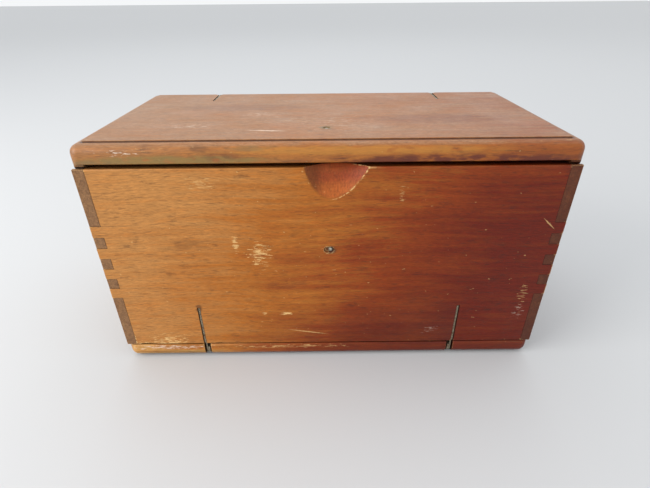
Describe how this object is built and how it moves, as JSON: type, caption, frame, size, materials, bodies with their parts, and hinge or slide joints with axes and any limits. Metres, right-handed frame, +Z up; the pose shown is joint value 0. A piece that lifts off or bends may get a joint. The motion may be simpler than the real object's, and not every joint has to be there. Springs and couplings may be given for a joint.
{
  "type": "folding wooden box",
  "caption": "Small moulded wooden box with a finger scoop, whose lid, front and back swing out on blade hinges so that it unrolls flat.",
  "frame": {"origin": "centre of the base's underside", "axes": "+X along the box to its right as seen from the front, +Y from front to back, +Z up"},
  "size_m": [0.2032, 0.1016, 0.1116],
  "materials": {
    "board_wood": "worn satin varnish",
    "panel_wood": "worn satin varnish",
    "end_wood": "worn satin varnish",
    "fitting_wood": "bare, oiled",
    "hinge_steel": "tarnished",
    "spring_steel": "dull",
    "screw_steel": "tarnished"
  },
  "bodies": {
    "base": {"back_hinge_base_leaf_left": "hinge_steel", "back_hinge_base_leaf_right": "hinge_steel", "back_hinge_rivet_left": "hinge_steel", "back_hinge_rivet_right": "hinge_steel", "base_board": "board_wood", "base_end_left": "end_wood", "base_end_right": "end_wood", "base_hinge_brads": "hinge_steel", "bobbin_rack": "fitting_wood", "bobbin_rack_screws": "screw_steel", "front_hinge_base_leaf_left": "hinge_steel", "front_hinge_base_leaf_right": "hinge_steel", "front_hinge_rivet_left": "hinge_steel", "front_hinge_rivet_right": "hinge_steel"},
    "front": {"front_end_left": "end_wood", "front_end_right": "end_wood", "front_hinge_brads": "hinge_steel", "front_hinge_upper_leaf_left": "hinge_steel", "front_hinge_upper_leaf_right": "hinge_steel", "front_panel": "panel_wood", "latch_spring": "spring_steel", "latch_spring_rivet": "spring_steel"},
    "back": {"back_end_left": "end_wood", "back_end_right": "end_wood", "back_hinge_brads": "hinge_steel", "back_hinge_upper_leaf_left": "hinge_steel", "back_hinge_upper_leaf_right": "hinge_steel", "back_panel": "panel_wood", "lid_hinge_lower_leaf_left": "hinge_steel", "lid_hinge_lower_leaf_right": "hinge_steel", "notched_rail": "fitting_wood", "notched_rail_screws": "screw_steel"},
    "lid": {"latch_keeper": "spring_steel", "latch_keeper_rivet": "spring_steel", "lid_board": "board_wood", "lid_clip_screws": "screw_steel", "lid_clips": "spring_steel", "lid_end_left": "end_wood", "lid_end_right": "end_wood", "lid_hinge_brads": "hinge_steel", "lid_hinge_lid_leaf_left": "hinge_steel", "lid_hinge_lid_leaf_right": "hinge_steel", "lid_hinge_rivet_left": "hinge_steel", "lid_hinge_rivet_right": "hinge_steel"}
  },
  "joints": [
    {"name": "front_fold", "type": "hinge", "parent": "base", "child": "front", "pos_m": [0, -0.0478, 0.003], "axis": [1, 0, 0], "range_deg": [0, 90]},
    {"name": "back_fold", "type": "hinge", "parent": "base", "child": "back", "pos_m": [0, 0.0478, 0.003], "axis": [-1, 0, 0], "range_deg": [0, 90]},
    {"name": "lid_hinge", "type": "hinge", "parent": "back", "child": "lid", "pos_m": [0, 0.0478, 0.1086], "axis": [-1, 0, 0], "range_deg": [0, 90]}
  ]
}
